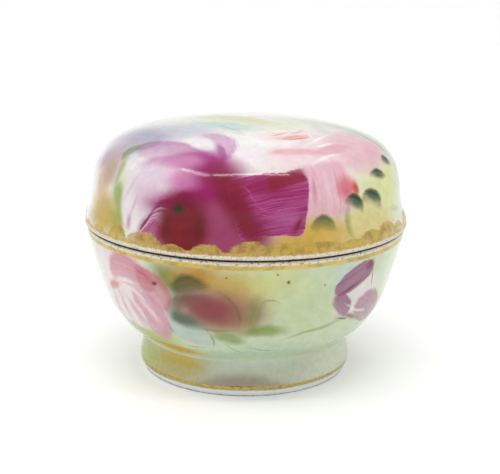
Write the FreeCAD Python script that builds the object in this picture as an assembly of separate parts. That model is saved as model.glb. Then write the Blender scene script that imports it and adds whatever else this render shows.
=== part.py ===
"""Covered porcelain powder jar: a footed bowl with a raised locating collar, and a domed lid that sits over it.

Millimetres, +Z up. The origin is the centre of the circle on which the foot stands.
Every piece is turned about the Z axis, so each one is a closed outline of (radius, height) points.
"""

import FreeCAD
import Part

import math
import os

# --- Driving dimensions -------------------------------------------------------------------------------------------
FOOT_HEIGHT = 11.7          # ground ring, up to the underside of the bowl
FOOT_RADIUS = 36.4          # widest point of the spreading foot
FOOT_WAIST_RADIUS = 35.1    # where the foot is luted to the bowl
FOOT_WALL = 4.7             # thickness of the foot ring at the waist
FOOT_GROUND_WIDTH = 2.2     # flat, unglazed ring that touches the table
FOOT_EDGE_ROUND = 1.8       # height of the rounded lower edge

RIM_HEIGHT = 50.8           # ledge on which the lid rests
RIM_RADIUS = 54.1           # outside of the bowl at that ledge
RIM_ROUND = 0.7             # worn, rounded outer edge of the ledge
FLOOR_THICKNESS = 3.4
BOWL_WALL = 3.0
BELLY_RADIUS = 47.1         # the belly at mid height
BELLY_HEIGHT = 25.8

COLLAR_RADIUS = 49.2        # outside of the locating collar inside the ledge
COLLAR_WALL = 2.2
COLLAR_HEIGHT = 4.2         # above the ledge

LID_GAP = 0.4               # between the ledge and the lid's ground edge
LID_TOP = 86.4
LID_FLANGE_RADIUS = 54.8    # flared lower edge, a little proud of the bowl
LID_SIDE_RADIUS = 52.3      # the upright side, at mid height
LID_SHOULDER_RADIUS = 50.0  # where the side turns in
LID_SHOULDER_HEIGHT = 72.4
LID_EDGE_ROUND = 0.7
LID_MOUTH_RADIUS = 50.2     # inside of the lid where it passes over the collar
LID_WALL = 2.8

PARTS = "parts"


# --- Outline helpers ----------------------------------------------------------------------------------------------
def point(radius, height):
    return FreeCAD.Vector(radius, 0, height)


def line(start, end):
    return Part.makeLine(point(*start), point(*end))


def corner(start, middle, end):
    """A round edge that goes through three points."""
    return Part.Arc(point(*start), point(*middle), point(*end)).toShape()


def curve(points, first=None, last=None):
    """A smooth curve through the points, with its direction given at both ends or at neither."""
    spline = Part.BSplineCurve()
    if first is None:
        spline.interpolate([point(*p) for p in points])
    else:
        spline.interpolate(
            Points=[point(*p) for p in points],
            InitialTangent=point(*first),
            FinalTangent=point(*last),
        )
    return spline.toShape()


def quarter(centre, radius, from_degrees, to_degrees):
    """A round edge about a centre, between two directions in the outline's plane."""
    places = [from_degrees, (from_degrees + to_degrees) / 2, to_degrees]
    return corner(
        *[
            (
                centre[0] + radius * math.cos(math.radians(a)),
                centre[1] + radius * math.sin(math.radians(a)),
            )
            for a in places
        ]
    )


def turned(edges):
    """The solid that a closed outline makes when it turns once about the Z axis."""
    wire = Part.Wire(Part.__sortEdges__(edges))
    solid = Part.Face(wire).revolve(FreeCAD.Vector(0, 0, 0), FreeCAD.Vector(0, 0, 1), 360)
    solid = solid.Solids[0]
    if solid.Volume < 0:
        solid.reverse()
    return solid


# --- Pieces -------------------------------------------------------------------------------------------------------
def foot_ring():
    """The spreading ring under the bowl, luted to it before firing. Its lowest face is ground flat and left unglazed."""
    ground_outer = FOOT_RADIUS - FOOT_EDGE_ROUND
    ground_inner = ground_outer - FOOT_GROUND_WIDTH
    waist_inner = FOOT_WAIST_RADIUS - FOOT_WALL
    outside = curve(
        [
            (ground_outer, 0),
            (FOOT_RADIUS - 0.3, 0.5 * FOOT_EDGE_ROUND + 1.4),
            (FOOT_RADIUS, 0.38 * FOOT_HEIGHT),
            (FOOT_RADIUS - 0.7, 0.72 * FOOT_HEIGHT),
            (FOOT_WAIST_RADIUS, FOOT_HEIGHT),
        ]
    )
    inside = curve(
        [
            (waist_inner, FOOT_HEIGHT),
            (waist_inner + 0.5, 0.55 * FOOT_HEIGHT),
            (ground_inner, 0),
        ]
    )
    top = line((FOOT_WAIST_RADIUS, FOOT_HEIGHT), (waist_inner, FOOT_HEIGHT))
    ground = line((ground_inner, 0), (ground_outer, 0))
    return turned([outside, top, inside, ground])


def bowl():
    """The bowl, from its flat base up to the ledge, with the collar that keeps the lid in place."""
    edge_bottom = RIM_HEIGHT - RIM_ROUND
    edge_inside = RIM_RADIUS - RIM_ROUND
    floor = FOOT_HEIGHT + FLOOR_THICKNESS
    collar_top = RIM_HEIGHT + COLLAR_HEIGHT
    collar_inner = COLLAR_RADIUS - COLLAR_WALL
    collar_round = COLLAR_WALL / 2
    base = line((0, FOOT_HEIGHT), (FOOT_WAIST_RADIUS, FOOT_HEIGHT))
    belly = curve(
        [
            (FOOT_WAIST_RADIUS, FOOT_HEIGHT),
            (FOOT_WAIST_RADIUS + 1.1, FOOT_HEIGHT + 1.6),
            (38.6, 15.2),
            (41.8, 18.0),
            (BELLY_RADIUS, BELLY_HEIGHT),
            (51.0, 36.8),
            (RIM_RADIUS, edge_bottom),
        ],
        first=(0.3, 1.0),
        last=(0.14, 1.0),
    )
    edge = quarter((edge_inside, edge_bottom), RIM_ROUND, 0, 90)
    ledge = line((edge_inside, RIM_HEIGHT), (COLLAR_RADIUS, RIM_HEIGHT))
    collar_outside = line((COLLAR_RADIUS, RIM_HEIGHT), (COLLAR_RADIUS, collar_top - collar_round))
    collar_edge = quarter((COLLAR_RADIUS - collar_round, collar_top - collar_round), collar_round, 0, 180)
    inside = curve(
        [
            (collar_inner, collar_top - collar_round),
            (collar_inner, RIM_HEIGHT - 1.0),
            (BELLY_RADIUS - BOWL_WALL + 0.6, BELLY_HEIGHT + 3.4),
            (37.0, floor + 4.2),
            (24.0, floor),
        ],
        first=(0, -1.0),
        last=(-1.0, 0),
    )
    bottom = line((24.0, floor), (0, floor))
    middle = line((0, floor), (0, FOOT_HEIGHT))
    return turned([base, belly, edge, ledge, collar_outside, collar_edge, inside, bottom, middle])


def lid():
    """The domed lid: a flared lower edge, nearly upright sides and a wide rounded shoulder."""
    edge_height = RIM_HEIGHT + LID_GAP
    flange_edge = LID_FLANGE_RADIUS - LID_EDGE_ROUND
    outside = curve(
        [
            (LID_FLANGE_RADIUS, edge_height + LID_EDGE_ROUND),
            (LID_FLANGE_RADIUS - 0.6, edge_height + 3.6),
            (LID_SIDE_RADIUS + 0.7, edge_height + 6.9),
            (LID_SIDE_RADIUS, 62.0),
            (LID_SIDE_RADIUS - 0.5, 66.5),
            (LID_SHOULDER_RADIUS, LID_SHOULDER_HEIGHT),
            (LID_SHOULDER_RADIUS - 5.0, LID_SHOULDER_HEIGHT + 5.9),
            (35.0, 82.3),
            (18.0, 85.2),
            (0, LID_TOP),
        ],
        first=(0.0, 1.0),
        last=(-1.0, 0),
    )
    middle = line((0, LID_TOP), (0, LID_TOP - LID_WALL))
    inside = curve(
        [
            (0, LID_TOP - LID_WALL),
            (18.0, 85.2 - LID_WALL),
            (34.2, 82.3 - LID_WALL),
            (LID_SHOULDER_RADIUS - 6.7, LID_SHOULDER_HEIGHT + 3.8),
            (LID_SHOULDER_RADIUS - 2.5, LID_SHOULDER_HEIGHT - 1.6),
            (LID_SIDE_RADIUS - 3.2, 65.0),
            (LID_MOUTH_RADIUS - 0.6, 60.5),
            (LID_MOUTH_RADIUS, edge_height + 5.0),
        ],
        first=(1.0, 0),
        last=(0, -1.0),
    )
    mouth = line((LID_MOUTH_RADIUS, edge_height + 5.0), (LID_MOUTH_RADIUS, edge_height + LID_EDGE_ROUND))
    inner_edge = quarter(
        (LID_MOUTH_RADIUS + LID_EDGE_ROUND, edge_height + LID_EDGE_ROUND), LID_EDGE_ROUND, 180, 270
    )
    ground = line((LID_MOUTH_RADIUS + LID_EDGE_ROUND, edge_height), (flange_edge, edge_height))
    outer_edge = quarter((flange_edge, edge_height + LID_EDGE_ROUND), LID_EDGE_ROUND, 270, 360)
    return turned([outside, middle, inside, mouth, inner_edge, ground, outer_edge])


# --- Build --------------------------------------------------------------------------------------------------------
def main():
    os.makedirs(PARTS, exist_ok=True)
    pieces = {"foot_ring": foot_ring(), "bowl": bowl(), "lid": lid()}
    for name, shape in pieces.items():
        shape.exportStep(os.path.join(PARTS, name + ".step"))
        print(name, "valid", shape.isValid(), "volume cm3", round(shape.Volume / 1000, 2))


main()
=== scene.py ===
"""A covered porcelain powder jar on a white table: three turned pieces, hand-painted with roses.

The painting is made of shader nodes. Each painted surface carries a flat map of itself, called its canvas,
and every brush stroke is an ellipse, a leaf, a flat dab or a soft wash, placed on that canvas.
"""
import math

import bpy
from mathutils import Matrix, Vector


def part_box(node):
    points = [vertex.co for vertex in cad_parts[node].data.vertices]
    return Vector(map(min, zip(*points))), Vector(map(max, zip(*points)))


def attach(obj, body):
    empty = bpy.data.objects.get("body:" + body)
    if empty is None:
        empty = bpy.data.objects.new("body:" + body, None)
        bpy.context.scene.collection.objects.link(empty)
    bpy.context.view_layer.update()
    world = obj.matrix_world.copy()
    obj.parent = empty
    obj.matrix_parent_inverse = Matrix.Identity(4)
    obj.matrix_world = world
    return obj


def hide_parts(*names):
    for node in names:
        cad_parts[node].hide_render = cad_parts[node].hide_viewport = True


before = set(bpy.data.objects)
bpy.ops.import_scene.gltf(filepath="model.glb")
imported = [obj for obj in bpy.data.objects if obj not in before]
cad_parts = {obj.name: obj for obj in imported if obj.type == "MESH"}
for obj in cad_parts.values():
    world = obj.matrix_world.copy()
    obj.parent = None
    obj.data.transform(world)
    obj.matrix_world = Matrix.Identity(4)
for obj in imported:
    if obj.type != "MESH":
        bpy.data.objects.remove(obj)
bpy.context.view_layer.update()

MM = 0.001
SEGMENTS = 288                          # steps round every turned piece
ROOM = 0.9985                           # keeps the rings, which aren't quite round, inside their outlines


# --- Outlines (millimetres: radius, height) ------------------------------------------------------
def node_heights(node):
    """The lowest and highest point of a CAD node, in millimetres."""
    low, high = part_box(node)
    return low[2] / MM, high[2] / MM


FOOT_TOP = node_heights("foot_ring")[1]
BOWL_LOW, COLLAR_TOP = node_heights("bowl")
LID_LOW, LID_TOP = node_heights("lid")
COLLAR_HEIGHT = 4.2
COLLAR = 49.2                           # outer radius of the collar inside the ledge
RIM = COLLAR_TOP - COLLAR_HEIGHT        # ledge that carries the lid
RIM_RADIUS = 54.1
BOWL_FLOOR = BOWL_LOW + 3.4             # inside, at the middle
FLANGE = 54.8                           # widest radius, at the lid's lower edge
MOUTH = 50.2                            # inner radius of the lid's lower edge
EDGE = 0.7                              # round of the thin edges
FOOT_INSIDE = 30.4                      # inner radius of the foot ring, where it meets the bowl
GROUND_INSIDE = 32.4                    # inner and outer radius of the ring that stands on the table
GROUND_OUTSIDE = 34.6
COLLAR_ROUND = 1.1                      # half the collar's thickness
COLLAR_INSIDE = COLLAR - 2 * COLLAR_ROUND
FLOOR_RADIUS = 24.0                     # flat middle of the bowl's floor
MOUTH_TOP = 56.2                        # the lid's mouth is straight up to here


def smooth(points, step=0.6):
    """Points along a natural curve through the given ones, about one step apart."""
    count = len(points)
    times = [0.0]
    for a, b in zip(points, points[1:]):
        times.append(times[-1] + math.dist(a, b))
    slopes = []
    for i in range(count):
        before = max(i - 1, 0)
        after = min(i + 1, count - 1)
        span = times[after] - times[before]
        slopes.append([(points[after][k] - points[before][k]) / span for k in (0, 1)])
    result = [points[0]]
    for i in range(count - 1):
        span = times[i + 1] - times[i]
        pieces = max(1, round(span / step))
        for j in range(1, pieces + 1):
            t = j / pieces
            weights = (2 * t**3 - 3 * t**2 + 1, t**3 - 2 * t**2 + t, 3 * t**2 - 2 * t**3, t**3 - t**2)
            result.append(
                tuple(
                    weights[0] * points[i][k]
                    + weights[1] * span * slopes[i][k]
                    + weights[2] * points[i + 1][k]
                    + weights[3] * span * slopes[i + 1][k]
                    for k in (0, 1)
                )
            )
    return result


def rounded(centre, radius, start, end, steps=6):
    """Points round an edge about a centre, from one direction to another, in degrees."""
    points = []
    for i in range(steps + 1):
        angle = math.radians(start + (end - start) * i / steps)
        points.append((centre[0] + radius * math.cos(angle), centre[1] + radius * math.sin(angle)))
    return points


def straight(start, end, step=2.5):
    """Points along a straight stretch, about one step apart."""
    pieces = max(1, round(math.dist(start, end) / step))
    return [
        (start[0] + (end[0] - start[0]) * i / pieces, start[1] + (end[1] - start[1]) * i / pieces)
        for i in range(pieces + 1)
    ]


WAIST = 35.1                            # where the foot is joined to the bowl
FOOT_OUTSIDE = smooth(
    [
        (GROUND_OUTSIDE, 0.0), (36.1, 2.3), (36.4, 4.4), (35.8, 7.8), (WAIST, 10.2), (WAIST, FOOT_TOP),
    ],
    0.4,
)
BOWL_OUTSIDE = smooth(
    [
        (WAIST, BOWL_LOW), (35.4, 12.6), (36.3, 13.5), (38.6, 15.2), (41.8, 18.0), (47.1, 25.8),
        (51.0, 36.8), (53.1, 45.0), (RIM_RADIUS, RIM - EDGE),
    ]
)
BOWL_INSIDE = smooth(
    [
        (COLLAR_INSIDE, COLLAR_TOP - COLLAR_ROUND), (COLLAR_INSIDE, RIM - 1.0), (44.7, 29.2),
        (37.0, BOWL_FLOOR + 4.2), (30.5, BOWL_FLOOR + 0.9), (FLOOR_RADIUS, BOWL_FLOOR),
    ],
    1.2,
)
LID_OUTSIDE = smooth(
    [
        (FLANGE, LID_LOW + EDGE), (54.2, 54.8), (53.0, 58.1), (52.3, 62.0), (51.8, 66.5), (50.0, 72.4),
        (45.0, 78.3), (35.0, 82.3), (18.0, 85.2), (0.0, LID_TOP),
    ]
)
LID_INSIDE = smooth(
    [
        (0.0, 83.6), (18.0, 82.4), (34.2, 79.5), (43.3, 76.2), (47.5, 70.8), (49.1, 65.0), (49.6, 60.5),
        (MOUTH, MOUTH_TOP),
    ],
    1.2,
)


# --- Turned pieces -------------------------------------------------------------------------------
NEAR_AXIS = 0.25                        # the smallest radius that the canvas is worked out for


class Surface:
    """The painted side of a turned piece, unrolled onto a flat canvas without changing any angle.

    Heights are measured along the outline, in millimetres from its lower edge.
    """

    def __init__(self, outline):
        self.up = [0.0]
        self.radius = [p[0] for p in outline]
        self.log = [0.0]
        for (r0, z0), (r1, z1) in zip(outline, outline[1:]):
            step = math.dist((r0, z0), (r1, z1))
            self.up.append(self.up[-1] + step)
            self.log.append(self.log[-1] - step / max((r0 + r1) / 2, NEAR_AXIS))

    def at(self, azimuth, up):
        """Canvas point and canvas units per millimetre, for a place on the surface."""
        index = 0
        while index < len(self.up) - 2 and self.up[index + 1] < up:
            index += 1
        t = (up - self.up[index]) / (self.up[index + 1] - self.up[index])
        log = self.log[index] + t * (self.log[index + 1] - self.log[index])
        radius = self.radius[index] + t * (self.radius[index + 1] - self.radius[index])
        return self.point(azimuth, log), math.exp(log) / max(radius, NEAR_AXIS)

    @staticmethod
    def point(azimuth, log):
        """A canvas point, from its direction and the logarithm of its distance from the middle."""
        angle = math.radians(azimuth)
        return Vector((math.exp(log) * math.sin(angle), -math.exp(log) * math.cos(angle), 0))


SHARP = 32                              # an outline that turns by more degrees than this has an edge there


def section_of(outlines, painted):
    """The closed outline of a piece: each point with its outline's number and its place on the canvas."""
    section = []
    for number, outline in enumerate(outlines):
        for i, p in enumerate(outline):
            if section and math.dist(section[-1][0], p) < 0.01:
                continue
            log = painted.log[i] if number == 0 else 0.0
            up = painted.up[i] if number == 0 else 0.0
            section.append((p, number, log, up))
    if math.dist(section[0][0], section[-1][0]) < 0.01:
        section.pop()
    return section


def rings_of(section, phase):
    """The vertices, their canvas points, and the rings of vertex numbers, one for each outline point."""
    vertices = []
    canvas = []
    rings = []
    for p, number, log, up in section:
        ring = []
        for k in range(SEGMENTS if p[0] > 0.01 else 1):
            angle = 2 * math.pi * k / SEGMENTS
            oval = 0.0012 * math.sin(2 * angle + phase)
            uneven = 0.0006 * math.sin(3 * angle - 2 * phase + p[1] / 9)
            radius = p[0] * (1 + oval + uneven) * ROOM
            ring.append(len(vertices))
            vertices.append((radius * math.sin(angle) * MM, -radius * math.cos(angle) * MM, p[1] * MM))
            spot = Surface.point(math.degrees(angle), log) if p[0] > 0.01 else Vector((0, 0, 0))
            canvas.append((spot.x, spot.y, up))
        rings.append(ring)
    return vertices, canvas, rings


def sharp_corners(section, rings):
    """The vertices of the rings where the outline turns sharply."""
    sharp = set()
    for i, ring in enumerate(rings):
        before = Vector(section[i][0]) - Vector(section[i - 1][0])
        after = Vector(section[(i + 1) % len(section)][0]) - Vector(section[i][0])
        if before.angle(after, 0) > math.radians(SHARP):
            sharp.update(ring)
    return sharp


def faces_between(section, rings):
    """The faces between each ring and the next one, and the material number of each."""
    faces = []
    slots = []
    for i, ring in enumerate(rings):
        other = rings[(i + 1) % len(rings)]
        number = section[(i + 1) % len(rings)][1]
        if len(ring) == 1 and len(other) == 1:
            continue
        for k in range(SEGMENTS):
            a = ring[k % len(ring)]
            b = ring[(k + 1) % len(ring)]
            c = other[(k + 1) % len(other)]
            d = other[k % len(other)]
            corners = [a, b, c, d]
            if a == b:
                corners = [a, c, d]
            if c == d:
                corners = [a, b, c]
            faces.append(corners)
            quarter = int((k + 0.5) / SEGMENTS * 4 + 0.5) % 4
            slots.append(quarter if number == 0 else 3 + number)
    return faces, slots


def turned_piece(name, outlines, materials, body, node, phase):
    """A closed turned piece. The first outline is the painted side, with one material for each quarter;
    the others have one material each."""
    section = section_of(outlines, Surface(outlines[0]))
    vertices, canvas, rings = rings_of(section, phase)
    sharp = sharp_corners(section, rings)
    faces, slots = faces_between(section, rings)
    mesh = bpy.data.meshes.new(name)
    mesh.from_pydata(vertices, [], faces)
    for material in materials:
        mesh.materials.append(material)
    mesh.polygons.foreach_set("material_index", slots)
    mesh.polygons.foreach_set("use_smooth", [True] * len(faces))
    attribute = mesh.attributes.new("canvas", "FLOAT_VECTOR", "POINT")
    attribute.data.foreach_set("vector", [value for spot in canvas for value in spot])
    mesh.validate()
    mesh.update()
    for edge in mesh.edges:
        edge.use_edge_sharp = all(corner in sharp for corner in edge.vertices)
    piece = bpy.data.objects.new(name, mesh)
    bpy.context.collection.objects.link(piece)
    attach(piece, body)
    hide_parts(node)


# --- Materials -----------------------------------------------------------------------------------
def linear(red, green, blue):
    """A screen colour, 0 to 255, as the linear colour that the shader takes."""
    values = []
    for value in (red, green, blue):
        value = value / 255
        values.append(value / 12.92 if value <= 0.04045 else ((value + 0.055) / 1.055) ** 2.4)
    return (*values, 1.0)


def glazed(red, green, blue):
    """The colour to paint with, so that it looks like the given one under the white shine of the glaze."""
    return (*[max(0.003, (value - 0.03) / 0.88) for value in linear(red, green, blue)[:3]], 1.0)


def feed(tree, socket, value):
    """Join a socket to another one, or set it to a plain value."""
    if isinstance(value, bpy.types.NodeSocket):
        tree.links.new(value, socket)
    else:
        socket.default_value = value


def calc(tree, operation, *values):
    node = tree.nodes.new("ShaderNodeMath")
    node.operation = operation
    for socket, value in zip(node.inputs, values):
        feed(tree, socket, value)
    return node.outputs[0]


def ramp(tree, value, low, high, start=0.0, stop=1.0, smooth_ends=True):
    """The value's place between low and high, as a number from start to stop."""
    node = tree.nodes.new("ShaderNodeMapRange")
    node.interpolation_type = "SMOOTHSTEP" if smooth_ends else "LINEAR"
    node.clamp = not smooth_ends        # a smooth ramp keeps to its ends by itself
    for socket, entry in zip(node.inputs, (value, low, high, start, stop)):
        feed(tree, socket, entry)
    return node.outputs[0]


def noise(tree, vector, scale, detail=2.0, roughness=0.5, colour=False, solid=False):
    node = tree.nodes.new("ShaderNodeTexNoise")
    node.noise_dimensions = "3D" if solid else "2D"
    feed(tree, node.inputs["Vector"], vector)
    node.inputs["Scale"].default_value = scale
    node.inputs["Detail"].default_value = detail
    node.inputs["Roughness"].default_value = roughness
    return node.outputs["Color" if colour else "Fac"]


def mix(tree, factor, first, second):
    node = tree.nodes.new("ShaderNodeMix")
    node.data_type = "RGBA"
    feed(tree, node.inputs["Factor"], factor)
    feed(tree, node.inputs["A"], first)
    feed(tree, node.inputs["B"], second)
    return node.outputs["Result"]


def measured(tree, vector, direction):
    """How far the canvas point lies along a direction, whose third number holds the starting point."""
    node = tree.nodes.new("ShaderNodeVectorMath")
    node.operation = "DOT_PRODUCT"
    feed(tree, node.inputs[0], vector)
    feed(tree, node.inputs[1], direction)
    return node.outputs["Value"]


def frame_of(place, angle, size):
    """The two directions of a stroke's own frame, in which it reaches from -1 to 1 both ways."""
    cosine = math.cos(math.radians(angle))
    sine = math.sin(math.radians(angle))
    directions = []
    for (x, y), half in zip(((cosine, sine), (-sine, cosine)), size):
        directions.append((x / half, y / half, -(x * place[0] + y * place[1]) / half))
    return directions


def shifted(tree, vector, field, amount):
    """The vector, pushed about by a colour noise."""
    centred = tree.nodes.new("ShaderNodeVectorMath")
    centred.operation = "SUBTRACT"
    feed(tree, centred.inputs[0], field)
    centred.inputs[1].default_value = (0.5, 0.5, 0.5)
    pushed = tree.nodes.new("ShaderNodeVectorMath")
    pushed.operation = "MULTIPLY_ADD"
    feed(tree, pushed.inputs[0], centred.outputs[0])
    pushed.inputs[1].default_value = (amount, amount, 0)
    feed(tree, pushed.inputs[2], vector)
    return pushed.outputs[0]


def scaled(tree, vector, factor):
    node = tree.nodes.new("ShaderNodeVectorMath")
    node.operation = "SCALE"
    feed(tree, node.inputs[0], vector)
    feed(tree, node.inputs["Scale"], factor)
    return node.outputs[0]


def canvas_of(tree):
    """The canvas point, with 1 as its third number, and the height up the surface in millimetres."""
    attribute = tree.nodes.new("ShaderNodeAttribute")
    attribute.attribute_name = "canvas"
    split = tree.nodes.new("ShaderNodeSeparateXYZ")
    feed(tree, split.inputs[0], attribute.outputs["Vector"])
    flat = tree.nodes.new("ShaderNodeCombineXYZ")
    feed(tree, flat.inputs[0], split.outputs[0])
    feed(tree, flat.inputs[1], split.outputs[1])
    flat.inputs[2].default_value = 1.0
    return flat.outputs[0], split.outputs[2]


def brush(kind):
    """The node group of one kind of brush stroke: how much paint it leaves at a point of the canvas."""
    name = "brush_" + kind
    if name in bpy.data.node_groups:
        return bpy.data.node_groups[name]
    tree = bpy.data.node_groups.new(name, "ShaderNodeTree")
    for label in ("Canvas", "Along", "Across"):
        tree.interface.new_socket(name=label, in_out="INPUT", socket_type="NodeSocketVector")
    for label in ("Bristles", "Bend", "Soft", "Fade", "Streak", "Strength"):
        tree.interface.new_socket(name=label, in_out="INPUT", socket_type="NodeSocketFloat")
    tree.interface.new_socket(name="Paint", in_out="OUTPUT", socket_type="NodeSocketFloat")
    given = tree.nodes.new("NodeGroupInput").outputs
    result = tree.nodes.new("NodeGroupOutput").inputs
    along = measured(tree, given["Canvas"], given["Along"])
    across = measured(tree, given["Canvas"], given["Across"])
    along2 = calc(tree, "MULTIPLY", along, along)
    across = calc(tree, "MULTIPLY_ADD", given["Bend"], along2, across)
    across2 = calc(tree, "MULTIPLY", across, across)
    if kind == "leaf":
        away = calc(tree, "ADD", along2, calc(tree, "ABSOLUTE", across))
    elif kind == "flat":
        corners = calc(tree, "ADD", calc(tree, "POWER", along2, 4.0), calc(tree, "POWER", across2, 4.0))
        away = calc(tree, "POWER", corners, 0.125)
    else:
        away = calc(tree, "SQRT", calc(tree, "ADD", along2, across2))
    if kind == "wash":
        paint = ramp(tree, away, 0.2, 1.0, 1.0, 0.0)
    else:
        missing = calc(tree, "MULTIPLY", given["Streak"], given["Bristles"])
        away = calc(tree, "MULTIPLY_ADD", missing, 0.06 if kind == "flat" else 0.3, away)
        paint = ramp(tree, away, calc(tree, "SUBTRACT", 1.0, given["Soft"]), 1.0, 1.0, 0.0)
        lower = calc(tree, "MULTIPLY_ADD", across, -0.5, 0.5)
        lower = calc(tree, "MINIMUM", calc(tree, "MAXIMUM", lower, 0.0), 1.0)
        kept = calc(tree, "SUBTRACT", 1.0, calc(tree, "MULTIPLY", given["Fade"], lower))
        paint = calc(tree, "MULTIPLY", paint, kept)
        paint = calc(tree, "MULTIPLY", paint, calc(tree, "SUBTRACT", 1.0, missing))
    paint = calc(tree, "MULTIPLY", paint, given["Strength"])
    feed(tree, result["Paint"], paint)
    return tree


def bristle_marks(tree, canvas, way):
    """Bristle marks that run in one of the directions, from 0 to 1."""
    grid = frame_of((way, 0), 180 / ORIENTATIONS * way, BRISTLE)
    streaked = tree.nodes.new("ShaderNodeCombineXYZ")
    feed(tree, streaked.inputs[0], measured(tree, canvas, grid[0]))
    feed(tree, streaked.inputs[1], measured(tree, canvas, grid[1]))
    field = noise(tree, streaked.outputs[0], 1.0, 2.0, 0.6)
    return ramp(tree, field, 0.34, 0.66, 0.0, 1.0, False)


def lay_strokes(tree, canvas, strokes, colour):
    """The colour with the strokes laid over it in order, and how much gold they leave."""
    bristles = {}
    gilt = 0.0
    for stroke in strokes:
        way = round(stroke["angle"] / 180 * ORIENTATIONS) % ORIENTATIONS
        if way not in bristles:
            bristles[way] = bristle_marks(tree, canvas, way)
        node = tree.nodes.new("ShaderNodeGroup")
        node.node_tree = brush(stroke["kind"])
        feed(tree, node.inputs["Canvas"], canvas)
        feed(tree, node.inputs["Bristles"], bristles[way])
        own_frame = frame_of(stroke["place"], stroke["angle"], stroke["size"])
        node.inputs["Along"].default_value = own_frame[0]
        node.inputs["Across"].default_value = own_frame[1]
        for label in ("Bend", "Soft", "Fade", "Streak", "Strength"):
            node.inputs[label].default_value = stroke[label.lower()]
        paint = node.outputs["Paint"]
        if stroke["gold"]:
            gilt = calc(tree, "MAXIMUM", gilt, paint)
        else:
            colour = mix(tree, paint, colour, glazed(*stroke["colour"]))
    return colour, gilt


def lay_bands(tree, plain, up, bands, colour, gilt):
    """The colour, the gold and the worn porcelain, once the bands round the surface are added.

    A band is its lower and upper height, how soft its edges are, in millimetres, and its kind.
    """
    wander = calc(tree, "SUBTRACT", noise(tree, plain, 40.0, 3.0, 0.6), 0.5)
    height = calc(tree, "MULTIPLY_ADD", wander, 0.9, up)
    worn = 0.0
    for low, high, edge, kind in bands:
        above = ramp(tree, height, low - edge, low + edge)
        below = ramp(tree, height, high - edge, high + edge, 1.0, 0.0)
        inside = calc(tree, "MULTIPLY", above, below)
        if kind == "gold":
            gilt = calc(tree, "MAXIMUM", gilt, inside)
            continue
        colour = mix(tree, inside, colour, glazed(*BAND_COLOURS[kind]))
        # A painted contact shadow band leaves the gold under it.
        if kind != "contact_shadow":
            gilt = calc(tree, "MULTIPLY", gilt, calc(tree, "SUBTRACT", 1.0, inside))
        if kind == "worn":
            worn = calc(tree, "MAXIMUM", worn, inside)
    return colour, gilt, worn


GOLD = (200, 172, 86)
WORN_GOLD = (166, 138, 74)
SPECK = (150, 128, 96)
# The last band colour is painted shadow: a dark grey contact shadow along the foot's lower edge, where it
# stands on the table.
BAND_COLOURS = {"worn": (204, 198, 182), "bare": (214, 218, 216), "contact_shadow": (120, 122, 116)}
ORIENTATIONS = 9            # directions in which bristle marks can run
BRISTLE = (0.22, 0.0105)    # half the length and half the width of a bristle mark, on the canvas
SPOT_SPACING = 0.17         # between the spots that are tried to see which strokes reach a quarter


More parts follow.
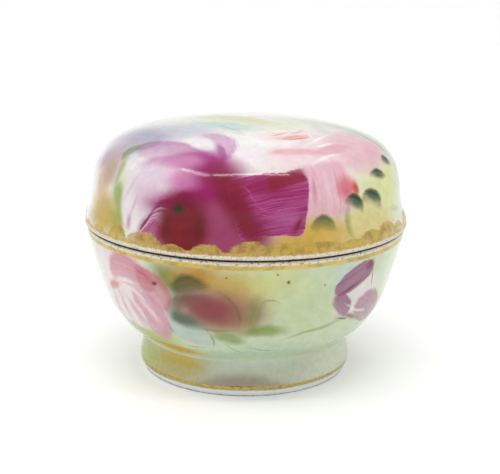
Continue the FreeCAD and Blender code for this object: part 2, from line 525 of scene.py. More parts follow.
class Painting:
    """Brush strokes on one turned surface, laid down in order.

    A place is (azimuth in degrees, millimetres up the surface), where azimuth 0 is the front and grows to
    the right. A size is (length, width) in millimetres. A turn is in degrees from the direction round the
    jar, and a bend is how far the ends of the stroke droop, in millimetres.
    """

    def __init__(self, surface, ground):
        self.surface = surface
        self.ground = ground
        self.strokes = []

    def stroke(self, kind, at, size, colour, turn, bend, soft, fade, streak, strength, gold=False):
        place, scale = self.surface.at(*at)
        half = (size[0] / 2, size[1] / 2)
        self.strokes.append(
            {
                "kind": kind,
                "place": place,
                "reach": (max(half) + abs(bend)) * scale,
                "size": (half[0] * scale, half[1] * scale),
                "angle": at[0] + turn,
                "bend": bend / half[1],
                "soft": soft,
                "fade": fade,
                "streak": streak,
                "strength": strength,
                "colour": colour,
                "gold": gold,
            }
        )

    def wash(self, at, size, colour, strength=0.9, turn=0.0):
        self.stroke("wash", at, size, colour, turn, 0.0, 0.3, 0.0, 0.0, strength)

    def petal(self, at, size, colour, turn=0.0, bend=0.0, soft=0.25, fade=0.75, streak=0.15, strength=0.95):
        self.stroke("round", at, size, colour, turn, bend, soft, fade, streak, strength)

    def leaf(self, at, size, colour, turn=0.0, bend=0.0, soft=0.35, fade=0.6, streak=0.15, strength=0.9):
        self.stroke("leaf", at, size, colour, turn, bend, soft, fade, streak, strength)

    def dab(self, at, size, colour, turn=0.0, bend=0.0, soft=0.12, fade=0.0, streak=0.4, strength=0.95):
        self.stroke("flat", at, size, colour, turn, bend, soft, fade, streak, strength)

    def line(self, at, size, colour, turn=0.0, bend=0.0, soft=0.9, streak=0.2, strength=0.9):
        self.stroke("round", at, size, colour, turn, bend, soft, 0.0, streak, strength)

    def gild(self, at, size):
        self.stroke("round", at, size, GOLD, 0.0, 0.0, 0.12, 0.0, 0.25, 1.0, gold=True)

    def near(self, spots):
        """The strokes that can reach a stretch of the canvas, given by spots on it."""
        reached = []
        for stroke in self.strokes:
            reach = stroke["reach"] * 1.15 + SPOT_SPACING
            if any((stroke["place"] - spot).length < reach for spot in spots):
                reached.append(stroke)
        return reached

    def material(self, name, spots, bands):
        """A material with the strokes that reach the given spots, and the bands that run all round."""
        material = bpy.data.materials.new(name)
        material.use_nodes = True
        tree = material.node_tree
        shader = tree.nodes["Principled BSDF"]
        plain, up = canvas_of(tree)
        canvas = shifted(tree, plain, noise(tree, plain, 7.0, 1.0, colour=True), 0.022)
        canvas = shifted(tree, canvas, noise(tree, plain, 60.0, 1.0, colour=True), 0.006)
        clouds = noise(tree, plain, 3.0, 2.0)
        shaded = [0.965 * value for value in self.ground]
        colour = mix(tree, clouds, glazed(*self.ground), glazed(*shaded))
        colour, gilt = lay_strokes(tree, canvas, self.near(spots), colour)
        grain = noise(tree, plain, 22.0, 5.0, 0.62)
        colour = scaled(tree, colour, ramp(tree, grain, 0.25, 0.75, 0.73, 0.85, False))
        colour, gilt, worn = lay_bands(tree, plain, up, bands, colour, gilt)
        flakes = ramp(tree, noise(tree, plain, 85.0, 3.0, 0.7), 0.20, 0.40, 0.3, 1.0)
        gilt = calc(tree, "MULTIPLY", gilt, flakes)
        leafing = mix(tree, ramp(tree, grain, 0.38, 0.68), linear(*GOLD), linear(*WORN_GOLD))
        colour = mix(tree, calc(tree, "MULTIPLY", gilt, 0.92), colour, leafing)
        specks = ramp(tree, noise(tree, plain, 110.0, 3.0, 0.65), 0.50, 0.66, 0.0, 0.85)
        colour = mix(tree, calc(tree, "MULTIPLY", specks, worn), colour, linear(*SPECK))
        feed(tree, shader.inputs["Base Color"], colour)
        feed(tree, shader.inputs["Metallic"], calc(tree, "MULTIPLY", gilt, 0.85))
        rough = calc(tree, "MULTIPLY_ADD", gilt, 0.22, calc(tree, "MULTIPLY_ADD", worn, 0.25, 0.11))
        feed(tree, shader.inputs["Roughness"], rough)
        shader.inputs["Specular IOR Level"].default_value = 0.28
        bump = tree.nodes.new("ShaderNodeBump")
        bump.inputs["Strength"].default_value = 0.12
        bump.inputs["Distance"].default_value = 0.0003
        feed(tree, bump.inputs["Height"], noise(tree, plain, 14.0, 2.0))
        feed(tree, shader.inputs["Normal"], bump.outputs[0])
        return material

    def quarters(self, name, bands):
        """One material for each quarter of the surface, each with only the strokes that reach it."""
        materials = []
        for quarter in range(4):
            spots = []
            for i in range(7):
                for j in range(6):
                    azimuth = 90 * quarter - 45 + 15 * i
                    spots.append(self.surface.at(azimuth, self.surface.up[-1] * j / 5)[0])
            materials.append(self.material(f"{name}_{quarter}", spots, bands))
        return materials


def plain_glaze(name, colour, roughness=0.12, speck=(120, 104, 78), speckled=0.25, uneven=0.035):
    """Unpainted porcelain: a faintly uneven colour with a few specks, over the object's own space."""
    material = bpy.data.materials.new(name)
    material.use_nodes = True
    tree = material.node_tree
    shader = tree.nodes["Principled BSDF"]
    place = tree.nodes.new("ShaderNodeTexCoord").outputs["Object"]
    clouds = noise(tree, place, 28.0, 3.0, 0.6, solid=True)
    darker = linear(*[(1 - uneven) * value for value in colour])
    cloudy = mix(tree, ramp(tree, clouds, 0.3, 0.7), darker, linear(*colour))
    specks = noise(tree, place, 900.0, 2.0, 0.6, solid=True)
    spots = ramp(tree, specks, 0.74 - 0.2 * speckled, 0.80 - 0.2 * speckled, 0.0, speckled)
    feed(tree, shader.inputs["Base Color"], mix(tree, spots, cloudy, linear(*speck)))
    shader.inputs["Roughness"].default_value = roughness
    return material


# --- The lid's painting --------------------------------------------------------------------------
PORCELAIN = (232, 230, 224)
LILAC = (226, 216, 224)
MINT = (214, 224, 214)
LIME = (216, 218, 158)
PEACH = (218, 176, 124)


def paint_lid(surface):
    p = Painting(surface, PORCELAIN)
    # ground colours, blended into one another
    p.wash((-88, 20), (40, 50), LILAC)
    p.wash((-62, 38), (46, 30), (160, 154, 178), 0.95)
    p.wash((-48, 50), (40, 22), (184, 184, 198), 0.8)
    p.wash((-28, 60), (40, 16), (186, 204, 198), 0.9)
    p.wash((-34, 70), (60, 14), (200, 206, 148), 0.8)
    p.wash((20, 76), (70, 20), (204, 210, 150), 0.9)
    p.wash((60, 60), (40, 18), (214, 222, 190), 0.7)
    p.wash((-60, 30), (20, 16), (176, 160, 176), 0.8)
    p.wash((-68, 24), (22, 16), (178, 156, 170), 0.9)
    p.wash((-65, 17), (14, 14), (206, 170, 148), 0.9)
    p.wash((-60, 21), (14, 18), (184, 158, 140), 0.9)
    p.wash((-62, 9), (24, 16), PEACH, 0.9)
    p.wash((-58, 7), (40, 20), (190, 166, 90), 1.0)
    p.wash((-50, 12), (12, 28), (186, 190, 128), 0.85)
    p.wash((60, 16), (52, 40), LIME, 1.0)
    p.wash((82, 12), (34, 30), (198, 212, 196), 0.85)
    p.wash((24, 6), (52, 24), (202, 170, 92), 1.0)
    p.wash((16, 2), (30, 14), (192, 156, 84), 1.0)
    p.wash((46, 6), (44, 18), (204, 182, 112), 1.0)
    p.wash((86, 32), (26, 24), MINT, 0.8)
    p.wash((80, 28), (14, 10), (178, 182, 160), 0.8)
    p.wash((84, 22), (26, 44), (192, 200, 180), 0.8)
    # pale leaves behind, at the top left
    p.leaf((-28, 58), (30, 8), (184, 204, 194), turn=-22, bend=2.0, soft=0.5, strength=0.8)
    p.line((-20, 57), (22, 1.2), (140, 168, 150), turn=-28, bend=1.5, strength=0.7)
    p.line((-6, 56), (14, 1.0), (150, 172, 150), turn=-6, bend=-1.0, strength=0.6)
    p.leaf((-51, 34), (12, 7), (104, 126, 84), turn=52, bend=-0.6, soft=0.5, fade=0.3)
    p.leaf((-56, 30), (11, 6), (118, 138, 90), turn=76, bend=1.0, soft=0.5, fade=0.3)
    p.petal((-54, 23), (14, 5), (142, 158, 96), turn=-82, bend=1.0, soft=0.8, fade=0.3, strength=0.9)
    p.petal((-51, 14), (16, 8), (132, 152, 78), turn=-66, bend=1.6, soft=0.7, fade=0.5, strength=0.9)
    p.petal((-49, 6), (15, 9), (158, 156, 78), turn=-40, bend=1.0, soft=0.7, fade=0.3, strength=0.9)
    # the pink rose
    p.petal((38, 36), (62, 36), (228, 206, 210), turn=6, soft=0.5, fade=0.0, streak=0.05)
    p.petal((60, 34), (42, 26), (222, 178, 188), turn=12, soft=0.5, fade=0.0, streak=0.05)
    p.petal((12, 46), (26, 18), (232, 230, 226), soft=0.5, fade=0.0, streak=0.05)
    p.petal((30, 49), (26, 13), (232, 212, 208), bend=-1.2, soft=0.4, fade=0.0, streak=0.05)
    p.petal((30, 46.5), (19, 5.6), (214, 130, 126), bend=-1.6, soft=0.6, fade=0.0, streak=0.6)
    p.line((33, 44.6), (14, 2.2), (208, 92, 96), bend=-1.4, strength=0.85)
    p.line((24, 50), (9, 1.8), (212, 130, 130), turn=14, bend=-0.6, strength=0.8)
    p.line((40, 50.5), (11, 1.8), (216, 140, 140), turn=20, bend=-0.6, strength=0.8)
    p.line((31, 53), (20, 2.2), (238, 236, 230), bend=-1.6)
    p.line((44, 46), (10, 2.0), (238, 236, 230), turn=50, bend=-1.0)
    p.line((46, 42.5), (28, 2.4), (240, 236, 230), turn=14, bend=-1.0)
    p.line((42, 38.0), (14, 2.4), (240, 238, 234), turn=2, bend=0.4)
    p.petal((22, 36), (26, 6), (222, 160, 172), turn=-4, bend=1.0, soft=0.6, fade=0.3)
    p.petal((42, 35), (24, 7), (216, 156, 170), turn=4, bend=1.0, soft=0.6, fade=0.4)
    p.petal((66, 30), (24, 8), (220, 168, 180), turn=10, bend=1.0, soft=0.6, fade=0.3)
    p.line((34, 31), (22, 2.2), (238, 232, 230), turn=16, bend=0.6)
    p.dab((29.0, 20.0), (20, 21), (220, 170, 184), turn=-86, soft=0.25, streak=0.3)
    p.line((29, 19.5), (17, 2.0), (232, 200, 208), turn=88, bend=0.4, strength=0.6)
    p.line((24, 20), (16, 2.4), (204, 132, 156), turn=84, bend=0.8, strength=0.8)
    p.line((34, 20), (15, 1.6), (210, 146, 166), turn=88, strength=0.6)
    p.wash((38, 19.5), (12, 12), (212, 116, 132), 0.95)
    p.wash((41.6, 18.5), (4.4, 7), (196, 80, 66), 0.9)
    # the large magenta rose: white outer petals, orchid upper petals
    p.petal((-39, 15), (30, 20), (226, 219, 220), turn=76, bend=-1.0, soft=0.3, fade=0.0, streak=0.0)
    p.wash((-34, 24), (34, 18), (222, 210, 220), 1.0)
    p.line((-44.5, 18), (18, 2.6), (206, 184, 200), turn=62, bend=-1.4, strength=0.8)
    p.line((-42, 12), (14, 1.8), (198, 164, 188), turn=72, bend=-0.8, strength=0.7)
    p.line((-43.5, 7.5), (8, 3.6), (188, 130, 166), turn=92, strength=0.8)
    p.petal((-3, 34), (22, 18), (230, 220, 224), turn=8, soft=0.5, fade=0.0, streak=0.05)
    p.petal((-34, 33.5), (34, 15), (182, 116, 168), turn=-10, bend=2.6, fade=0.7, streak=0.1)
    p.petal((-15, 40), (26, 14), (196, 146, 186), turn=-66, bend=2.0, fade=0.3)
    p.petal((-24, 40.5), (18, 9), (230, 222, 228), turn=-36, bend=1.0, soft=0.5, fade=0.0, streak=0.05)
    p.petal((-33, 28.5), (26, 7), (186, 124, 168), turn=4, bend=2.2, fade=0.4, soft=0.6, strength=0.8)
    p.wash((-16, 30), (36, 17), (164, 62, 130), 1.0, turn=-14)
    p.petal((-20, 29), (26, 9), (156, 54, 124), turn=-24, bend=2.0, soft=0.7, fade=0.2, streak=0.1)
    p.petal((-11, 35.5), (17, 4.0), (156, 66, 130), turn=-74, bend=1.2, soft=0.6, fade=0.3, strength=0.9)
    # its full, deep middle
    p.wash((-27, 18), (36, 22), (172, 84, 142), 1.0, turn=14)
    p.petal((-11, 8), (47, 44), (146, 22, 92), turn=6, soft=0.45, streak=0.0, fade=0.0)
    p.petal((-10, 21.5), (38, 14), (148, 34, 100), soft=0.7, streak=0.0, fade=0.0)
    p.petal((-33, 5), (14, 14), (158, 54, 112), turn=60, soft=0.5, streak=0.1, fade=0.1)
    for step in range(5):
        azimuth = -36.6 + 1.8 * step
        up = 7.6 + 2.0 * step
        turn = 56 - 9 * step
        p.line((azimuth, up), (11, 1.8), (118, 22, 74), turn=turn, bend=1.6, strength=0.85)
        p.line((azimuth - 1, up - 2.2), (9, 1.0), (222, 178, 206), turn=turn, bend=1.6, strength=0.8)
    p.wash((-33, 21.5), (27, 15), (218, 198, 210), 1.0, turn=20)
    p.petal((-21.5, 7.5), (22, 26), (118, 16, 54), soft=0.5, fade=0.0, streak=0.0)
    p.wash((-22.5, 8), (7, 14), (128, 8, 54), 0.7)
    p.wash((-15.5, 8), (6, 12), (104, 42, 54), 0.6)
    p.wash((-27.5, 8), (5, 12), (104, 42, 54), 0.6)
    p.wash((-23, 22.5), (17, 9), (202, 124, 172), 0.8)
    p.wash((-26, 29.5), (20, 10), (202, 140, 178), 0.8)
    p.petal((-23.2, 14.2), (5.5, 4.5), (52, 66, 50), soft=0.8, fade=0.0)
    # the broad square-ended petal and the shadow beside it
    p.dab((8.2, 15.8), (24, 20), (190, 104, 158), turn=3, soft=0.05, streak=0.0)
    p.dab((8.2, 15.8), (24, 20), (146, 36, 98), turn=3, soft=0.05, streak=0.45)
    p.wash((14, 12), (14, 10), (176, 96, 148), 0.5)
    p.wash((7, 22), (24, 9), (140, 30, 84), 0.9)
    p.dab((14.6, 24.2), (15, 5.6), (136, 20, 62), turn=14, soft=0.35, streak=0.15)
    p.wash((-5.5, 20), (32, 13), (128, 14, 62), 0.9, turn=-58)
    p.wash((0.5, 10.5), (26, 12), (126, 14, 60), 0.9, turn=-50)
    for step in range(4):
        place = (1 + 2.2 * step, 20 - 2.4 * step)
        p.line(place, (10, 0.9), (180, 90, 144), turn=-48 + 10 * step, bend=0.8, strength=0.6)
    p.line((17.4, 9.8), (9, 2.8), (120, 24, 66), turn=60, strength=0.9)
    # leaves at the right
    p.petal((47, 9), (24, 17), (214, 206, 148), turn=0, soft=0.4, fade=0.1, streak=0.1, strength=0.85)
    p.petal((36.5, 9), (15, 3.6), (122, 142, 64), turn=96, bend=1.8, soft=0.7, fade=0.8)
    p.petal((50, 15.0), (13.5, 6.4), (44, 66, 52), turn=-22, bend=2.4, soft=0.35, fade=0.97, streak=0.1)
    p.petal((40.6, 14.8), (11, 5.0), (58, 78, 54), turn=-26, bend=1.8, soft=0.35, fade=0.97, streak=0.1)
    p.petal((27, 9.8), (11, 5.6), (92, 104, 58), turn=-5, bend=2.2, soft=0.35, fade=0.9, streak=0.1)
    p.petal((57, 22.2), (12, 4.0), (84, 100, 76), turn=-12, bend=1.6, soft=0.5, fade=0.95, streak=0.1)
    p.petal((70, 24.6), (9, 5.6), (66, 84, 66), turn=-20, bend=1.6, soft=0.5, fade=0.95, streak=0.1)
    for azimuth, up, width, turn, thick, dark in (
        (50.5, 16.4, 12, -22, 3.2, 0.9), (40.8, 16.0, 9.5, -24, 2.6, 0.9), (27, 11.4, 10, -5, 2.8, 0.35),
        (57.4, 23.2, 10, -12, 2.0, 0.9), (70, 25.6, 7, -20, 3.2, 0.9),
    ):
        p.wash((azimuth, up - 1.2), (0.95 * width, 5.0), (74, 98, 76), dark, turn)
        p.line((azimuth, up), (width, thick), (42, 66, 56), turn=turn, bend=2.2, strength=dark)
    p.line((67, 8.5), (16, 3.0), (160, 182, 158), turn=-14, strength=0.6)
    p.wash((86, 40), (50, 18), (194, 202, 188), 0.85, turn=70)
    p.wash((70, 50), (34, 9), (206, 206, 196), 0.8, turn=40)
    p.line((80, 33), (30, 2.4), (138, 158, 122), turn=66, bend=1.6, strength=0.8)
    paint_lid_back(p)
    # gold scallops along the edge
    for azimuth, width, height in (
        (-84, 14, 4.4), (-72, 13, 2.4), (-60, 12, 3.0), (-48, 11, 5.2), (-36, 17, 5.4), (-24, 11, 2.6),
        (-12.5, 12, 3.8), (1, 13, 5.4), (12, 18, 4.4), (25, 22, 4.2), (37, 14, 3.4), (47, 15, 5.0),
        (57, 14, 6.2), (66, 11, 4.6), (78, 15, 5.6), (92, 15, 4.2), (105, 13, 3.0), (118, 15, 5.0),
        (132, 14, 3.6), (146, 15, 5.2), (160, 13, 3.0), (174, 15, 4.8), (188, 14, 3.4), (202, 15, 5.0),
        (216, 14, 3.2), (230, 15, 4.8), (244, 14, 3.6), (259, 13, 4.6),
    ):
        p.gild((azimuth, 0.4), (width, height * 2))
    return p


MM_PER_DEGREE = 0.9                     # round the jar, at about the middle of its sides


def beside(place, across, upwards, direction):
    """A place some millimetres away from another one, in a direction given in degrees."""
    angle = math.radians(direction)
    return place[0] + across * math.cos(angle) / MM_PER_DEGREE, place[1] + upwards * math.sin(angle)


def rose(p, azimuth, up, size, deep, middle, pale):
    """A full-blown rose: pale outer petals, turning darker towards its heart. Its size is in millimetres."""
    for turn in range(10, 370, 60):
        place = beside((azimuth, up), 0.33 * size, 0.28 * size, turn)
        droop = 0.07 * size
        p.petal(place, (0.66 * size, 0.42 * size), pale, turn=turn - 90, bend=droop, fade=0.3, streak=0.2)
        p.line(place, (0.5 * size, 0.05 * size), middle, turn=turn - 90, bend=droop, strength=0.6)
    p.wash((azimuth - 2, up + 1), (0.74 * size, 0.62 * size), middle, 0.95)
    for turn in range(20, 380, 72):
        x, y = beside((azimuth, up), 0.19 * size, 0.16 * size, turn)
        droop = 0.06 * size
        p.petal((x, y), (0.38 * size, 0.20 * size), middle, turn=turn - 90, bend=droop, soft=0.3, fade=0.5,
                streak=0.3)
        high = (x, y + 0.03 * size)
        p.line(high, (0.34 * size, 0.035 * size), pale, turn=turn - 90, bend=droop, strength=0.7)
    p.wash((azimuth, up - 0.05 * size), (0.34 * size, 0.30 * size), deep, 1.0)


def spray(p, azimuth, up, size, colour):
    """Three leaves on a short stem."""
    for turn in (-38, 6, 48):
        place = beside((azimuth, up), 0.5 * size, 0.5 * size, turn)
        p.leaf(place, (size, 0.36 * size), colour, turn=turn, bend=0.06 * size, strength=0.85)
    p.line((azimuth - 3, up - 1), (0.5 * size, 1.0), colour, turn=20, strength=0.7)


def paint_lid_back(p):
    """The back and the sides: the same roses again, more loosely spaced."""
    p.wash((120, 14), (60, 40), (206, 212, 158), 0.9)
    p.wash((165, 34), (60, 30), (214, 204, 216), 0.9)
    p.wash((205, 12), (60, 34), (214, 190, 130), 0.9)
    p.wash((240, 34), (50, 40), (196, 190, 208), 0.9)
    spray(p, 112, 20, 15, (96, 116, 84))
    rose(p, 142, 21, 38, (126, 20, 66), (164, 66, 122), (222, 194, 212))
    spray(p, 168, 12, 13, (118, 134, 88))
    rose(p, 202, 24, 42, (196, 92, 92), (216, 146, 160), (230, 206, 210))
    spray(p, 226, 14, 14, (104, 124, 96))
    rose(p, 252, 22, 28, (132, 30, 62), (168, 70, 128), (216, 186, 206))


def paint_bowl(surface):
    p = Painting(surface, (202, 214, 184))
    # ground colours
    p.wash((-62, 28), (36, 44), (224, 223, 218), 1.0)
    p.wash((-27, 37), (24, 16), (140, 142, 78), 1.0)
    p.wash((-15, 39), (28, 16), (186, 142, 74), 1.0)
    p.wash((-3, 35), (28, 20), (198, 172, 92), 0.95)
    p.wash((11, 36), (28, 22), (206, 206, 134), 0.9)
    p.wash((20, 27), (38, 34), (196, 208, 166), 0.95)
    p.wash((38, 36), (18, 20), (190, 208, 202), 0.9)
    p.wash((66, 30), (30, 36), (214, 224, 198), 0.9)
    p.wash((10, 8), (70, 16), (184, 202, 176), 0.8)
    p.wash((-44, 8), (30, 16), (176, 178, 92), 1.0)
    p.wash((-34, 4.5), (26, 11), (200, 166, 56), 1.0)
    p.wash((-36, 13), (18, 8), (186, 192, 124), 0.8)
    p.wash((-54, 13), (22, 6), (172, 184, 136), 0.9)
    # the dark leaf and the dusky rose
    p.petal((-20, 36), (19, 9), (76, 84, 58), turn=16, bend=2.0, soft=0.5, fade=0.3)
    p.petal((-27, 26), (20, 9), (92, 104, 84), turn=58, bend=1.4, soft=0.6, fade=0.3)
    p.petal((-31, 19), (12, 6), (96, 114, 96), turn=70, bend=0.8, soft=0.6, fade=0.4)
    p.wash((-6, 26), (36, 26), (164, 126, 102), 1.0)
    p.petal((-18, 30), (20, 10), (96, 84, 70), soft=0.8, fade=0.0, streak=0.0)
    p.petal((-13.5, 27), (31, 21), (144, 92, 90), soft=0.8, fade=0.0, streak=0.0)
    p.wash((-12, 27), (20, 12), (144, 74, 82), 0.8)
    p.line((-3, 29), (20, 2.0), (116, 104, 70), turn=-66, bend=3.8, strength=0.7)
    p.line((-12, 19.5), (20, 1.6), (126, 110, 84), bend=-2.0, strength=0.6)
    # the pale leaf
    p.petal((-23, 17), (24, 12.5), (184, 198, 188), turn=-24, soft=0.35, fade=0.0, streak=0.05)
    p.wash((-23, 22.5), (20, 8), (98, 108, 94), 0.95, turn=-16)
    p.line((-31, 19), (9, 1.8), (84, 100, 82), turn=-64, strength=0.8)
    p.line((-12.5, 15), (12, 1.3), (120, 146, 116), turn=-84, bend=1.8, strength=0.8)
    p.line((-22, 10), (13, 1.1), (136, 160, 134), bend=-1.6, strength=0.7)
    # green strokes and the stem
    p.petal((-6, 16), (15, 8), (122, 144, 66), turn=-18, soft=0.7, fade=0.3, strength=0.9)
    p.petal((3, 26), (17, 8), (134, 134, 84), turn=84, soft=0.8, fade=0.1, strength=0.9)
    p.petal((7, 19.5), (21, 7.5), (122, 142, 60), turn=2, soft=0.7, fade=0.3, strength=0.95)
    p.line((28, 18.5), (32, 2.6), (150, 172, 108), turn=13, bend=-1.2, strength=0.9)
    p.line((8, 31.5), (10, 1.3), (144, 150, 92), bend=2.4, strength=0.7)
    p.line((8, 10), (13, 1.2), (136, 154, 92), turn=-14, bend=-2.0, strength=0.8)
    p.line((-4, 10), (14, 1.0), (140, 160, 120), turn=-40, bend=-1.4, strength=0.6)
    # the pink rose
    p.petal((-47, 26), (38, 34), (228, 216, 216), turn=-10, soft=0.3, fade=0.0, streak=0.05)
    p.petal((-45, 36.5), (27, 13), (200, 122, 140), turn=-2, bend=2.4, fade=0.5)
    p.petal((-33, 32), (20, 11), (186, 106, 118), turn=-58, bend=1.4, fade=0.6)
    p.petal((-37, 20), (24, 14), (206, 150, 168), turn=-76, bend=1.4, fade=0.3)
    mm_per_degree = 0.85                # round the bowl
    for step in range(8):
        turn = -100 + 7.5 * step
        reach = 10.0 + 1.6 * math.sin(2.4 * step)
        along = math.cos(math.radians(turn)) / mm_per_degree
        up = 30 + reach * math.sin(math.radians(turn))
        tone = (214, 156, 170) if step % 2 == 0 else (236, 226, 224)
        wide = 4.2 + 1.3 * math.sin(2.3 * step)
        bend = 1.2 + 1.3 * math.sin(1.7 * step)
        place = (-58 + 1.9 * step + reach * along, up)
        long = 18 + 3 * math.sin(3.1 * step)
        p.petal(place, (long, wide), tone, turn=turn, bend=bend, soft=0.8, fade=0.4, streak=0.4)
    p.petal((-57, 29), (13, 5), (204, 112, 112), turn=24, soft=0.7, fade=0.2)
    p.line((-48, 33), (18, 3.4), (238, 234, 230), turn=8, bend=1.6)
    p.line((-42, 29), (15, 2.6), (238, 232, 228), turn=-30, bend=1.4)
    p.line((-38, 38), (12, 2.0), (190, 96, 118), turn=-24, bend=0.8, strength=0.7)
    p.wash((-33, 35), (3.0, 2.4), (122, 60, 56), 1.0)
    # the mauve bud
    p.petal((44.8, 28), (22, 13), (222, 216, 210), turn=24, soft=0.25, fade=0.0, streak=0.0)
    p.petal((56.4, 21.5), (23, 12), (172, 124, 146), turn=-32, soft=0.2, fade=0.2, streak=0.14)
    p.petal((40.8, 35.6), (18.5, 9.4), (148, 84, 120), turn=22, bend=0.4, soft=0.12, fade=0.1, streak=0.14)
    p.line((39.8, 32.6), (15, 2.6), (130, 62, 96), turn=20, bend=-0.6, strength=0.8)
    p.wash((47.8, 38.5), (6, 5), (132, 60, 90), 0.8)
    p.petal((38.4, 26.6), (13, 7.6), (148, 88, 126), turn=-54, bend=0.6, soft=0.3, fade=0.2, streak=0.14)
    p.line((44.8, 20.8), (18, 3.4), (156, 100, 128), turn=-20)
    p.line((48.8, 22.6), (15, 1.7), (230, 224, 218), turn=-16)
    p.line((43.8, 24.6), (12, 1.4), (228, 222, 216), turn=-30)
    p.line((40.3, 20.6), (9, 1.2), (84, 88, 62), turn=-18)
    p.line((51.2, 33.5), (11, 0.9), (128, 88, 96), turn=-72)
    paint_bowl_back(p)
    # specks from the kiln
    for azimuth, up, size in ((15, 38, 1.4), (28, 35.5, 0.8), (11, 41, 0.9), (-6, 40, 0.6), (36, 12, 0.5)):
        p.wash((azimuth, up), (size * 1.4, size * 1.2), (104, 92, 64), 0.9)
    return p


def paint_bowl_back(p):
    """The back and the sides of the bowl."""
    p.wash((110, 26), (50, 40), (206, 212, 160), 0.9)
    p.wash((160, 30), (50, 30), (210, 188, 128), 0.8)
    p.wash((215, 24), (56, 40), (214, 216, 200), 0.9)
    spray(p, 100, 24, 14, (112, 132, 80))
    rose(p, 128, 26, 30, (134, 56, 70), (180, 108, 120), (222, 198, 200))
    spray(p, 152, 20, 12, (124, 142, 92))
    rose(p, 186, 27, 29, (128, 40, 86), (164, 84, 128), (220, 200, 210))
    spray(p, 210, 24, 14, (98, 118, 86))
    rose(p, 242, 26, 31, (198, 100, 100), (214, 146, 156), (230, 212, 210))


def paint_foot(surface):
    p = Painting(surface, (198, 202, 180))
    p.wash((-66, 8), (50, 24), (184, 190, 124), 1.0)
    p.wash((-36, 9), (34, 18), (188, 176, 116), 0.9)
    p.wash((58, 8), (44, 26), (212, 216, 196), 1.0)
    p.wash((150, 8), (70, 20), (190, 186, 132), 0.9)
    p.wash((-38, 11), (26, 6), (204, 180, 88), 0.8)
    p.petal((8, 12.5), (54, 7), (194, 206, 194), soft=0.9, fade=0.0, streak=0.0)
    p.petal((-2, 6.0), (64, 8), (158, 148, 134), soft=0.9, fade=0.0, streak=0.0)
    p.line((-3, 4.5), (26, 0.9), (84, 70, 38))
    return p


# --- Build ----------------------------------------------------------------------------------------
LID_BANDS = [(0.7, 1.7, 0.3, "gold"), (-1.0, 0.75, 0.3, "worn")]
BOWL_BANDS = [(42.0, 43.4, 0.2, "gold"), (43.5, 60.0, 0.25, "worn")]
# The lowest band on the foot is a painted contact shadow where the foot meets the table.
FOOT_BANDS = [(3.2, 4.3, 0.2, "gold"), (-1.0, 2.7, 0.3, "bare"), (-1.0, 0.25, 0.2, "contact_shadow")]


def build_lid(white, gap_shade_and_stain, bare):
    edge = (FLANGE - EDGE, LID_LOW + EDGE)
    inside = (
        LID_INSIDE
        + straight((MOUTH, MOUTH_TOP), (MOUTH, LID_LOW + EDGE))
        + rounded((MOUTH + EDGE, LID_LOW + EDGE), EDGE, 180, 270)
        + straight((MOUTH + EDGE, LID_LOW), (FLANGE - 2 * EDGE, LID_LOW))
    )
    # The underside and the lower part of the lid's edge take the dark brown edge material: painted shade of
    # the gap over the bowl, partly the edge's own dirty gilding.
    underside = straight((FLANGE - 2 * EDGE, LID_LOW), (FLANGE - EDGE, LID_LOW))
    underside += rounded(edge, EDGE, 270, 315)
    outlines = [LID_OUTSIDE, inside, underside, rounded(edge, EDGE, 315, 360)]
    painted = paint_lid(Surface(LID_OUTSIDE)).quarters("lid", LID_BANDS)
    turned_piece("lid_porcelain", outlines, painted + [white, gap_shade_and_stain, bare], "lid", "lid", 0.4)


def build_bowl(white, gap_shade_and_stain, bare):
    edge = (RIM_RADIUS - EDGE, RIM - EDGE)
    ledge = straight((RIM_RADIUS - EDGE, RIM), (COLLAR, RIM))
    inside = (
        straight((COLLAR, RIM), (COLLAR, COLLAR_TOP - COLLAR_ROUND))
        + rounded((COLLAR - COLLAR_ROUND, COLLAR_TOP - COLLAR_ROUND), COLLAR_ROUND, 0, 180)
        + BOWL_INSIDE
        + straight((FLOOR_RADIUS, BOWL_FLOOR), (0.0, BOWL_FLOOR), 4)
        + straight((0.0, BOWL_LOW), (WAIST, BOWL_LOW), 4)
    )
    # The upper part of the bowl's rim round takes the same dark brown: painted shade under the lid's
    # overhanging edge, partly dirty gilding.
    outlines = [BOWL_OUTSIDE, rounded(edge, EDGE, 0, 45), rounded(edge, EDGE, 45, 90), ledge, inside]
    painted = paint_bowl(Surface(BOWL_OUTSIDE)).quarters("bowl", BOWL_BANDS)
    turned_piece("bowl_porcelain", outlines, painted + [bare, gap_shade_and_stain, bare, white], "jar", "bowl", 1.9)


def build_foot(white):
    inside = (
        straight((WAIST, FOOT_TOP), (FOOT_INSIDE, FOOT_TOP))
        + smooth([(FOOT_INSIDE, FOOT_TOP), (30.9, 6.4), (GROUND_INSIDE, 0.0)], 0.8)
        + straight((GROUND_INSIDE, 0.0), (GROUND_OUTSIDE, 0.0))
    )
    painted = paint_foot(Surface(FOOT_OUTSIDE)).quarters("foot", FOOT_BANDS)
    turned_piece("foot_porcelain", [FOOT_OUTSIDE, inside], painted + [white], "jar", "foot_ring", 1.9)


# --- Stage ---------------------------------------------------------------------------------------
def table():
    mesh = bpy.data.meshes.new("table")
    half = 12.0
    corners = [(-half, -half, 0), (half, -half, 0), (half, half, 0), (-half, half, 0)]
    mesh.from_pydata(corners, [], [(0, 1, 2, 3)])
    mesh.materials.append(plain_glaze("table_white", (253, 253, 253), 0.6, (250, 250, 250), 0.1, 0.004))
    floor = bpy.data.objects.new("table", mesh)
    bpy.context.collection.objects.link(floor)


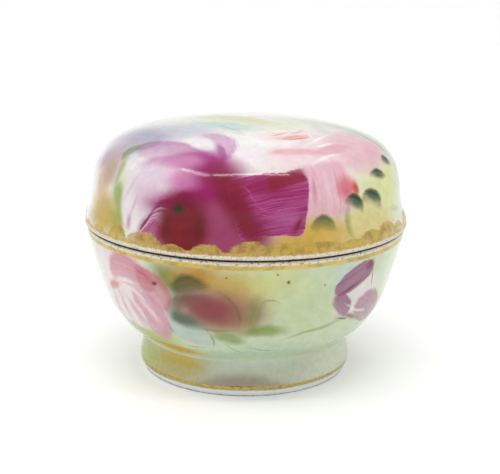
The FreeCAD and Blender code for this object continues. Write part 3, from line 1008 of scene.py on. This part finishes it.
def area_light(name, place, target, size, power):
    data = bpy.data.lights.new(name, "AREA")
    data.shape = "RECTANGLE"
    data.size = size[0]
    data.size_y = size[1]
    data.energy = power
    light = bpy.data.objects.new(name, data)
    light.location = place
    light.rotation_euler = (Vector(target) - Vector(place)).to_track_quat("-Z", "Y").to_euler()
    bpy.context.collection.objects.link(light)


def camera():
    """A long lens in front of the jar, looking down at it a little."""
    data = bpy.data.cameras.new("camera")
    data.lens = 86.45
    data.sensor_width = 36.0
    eye = bpy.data.objects.new("camera", data)
    pitch = 0.2546                      # radians, looking down
    yaw = 0.0037
    roll = 0.013
    forward = Vector((math.sin(yaw) * math.cos(pitch), math.cos(yaw) * math.cos(pitch), -math.sin(pitch)))
    right = Vector((math.cos(yaw), -math.sin(yaw), 0))
    up = right.cross(forward)
    across = right * math.cos(roll) + up * math.sin(roll)
    upright = up * math.cos(roll) - right * math.sin(roll)
    rows = [list(row) for row in zip(across, upright, -forward)]
    eye.matrix_world = Matrix.Translation((0, -0.3999, 0.1486)) @ Matrix(rows).to_4x4()
    bpy.context.collection.objects.link(eye)
    bpy.context.scene.camera = eye


def studio():
    """A white room, brighter overhead, as under a large diffuser."""
    world = bpy.data.worlds.new("studio")
    bpy.context.scene.world = world
    world.use_nodes = True
    tree = world.node_tree
    direction = tree.nodes.new("ShaderNodeTexCoord")
    split = tree.nodes.new("ShaderNodeSeparateXYZ")
    feed(tree, split.inputs[0], direction.outputs["Generated"])
    background = tree.nodes["Background"]
    background.inputs["Color"].default_value = (1, 1, 1, 1)
    sky = ramp(tree, split.outputs[2], 0.0, 1.0, 0.66, 1.20, False)
    horizon = ramp(tree, split.outputs[2], 0.03, 0.16, 0.36, 0.0)
    feed(tree, background.inputs["Strength"], calc(tree, "ADD", sky, horizon))


white = plain_glaze("white_glaze", (232, 230, 224))
# Dark brown for the edges that meet in the gap between lid and bowl: painted shade of the gap, partly the
# edges' own dirty gilding.
gap_shade_and_stain = plain_glaze("gap_shade_and_stain_edge", (74, 58, 34), 0.5)
bare = plain_glaze("bare_edge", (200, 193, 176), 0.45, speckled=0.8)
build_lid(white, gap_shade_and_stain, bare)
build_bowl(white, gap_shade_and_stain, bare)
build_foot(white)
bpy.context.scene.view_settings.view_transform = "Standard"
studio()
table()
area_light("overhead", (0.04, -0.36, 1.00), (0, 0, 0.08), (0.75, 0.055), 2.2)
area_light("overhead_left", (-0.47, -0.22, 0.94), (0, 0, 0.08), (0.40, 0.085), 1.3)
camera()
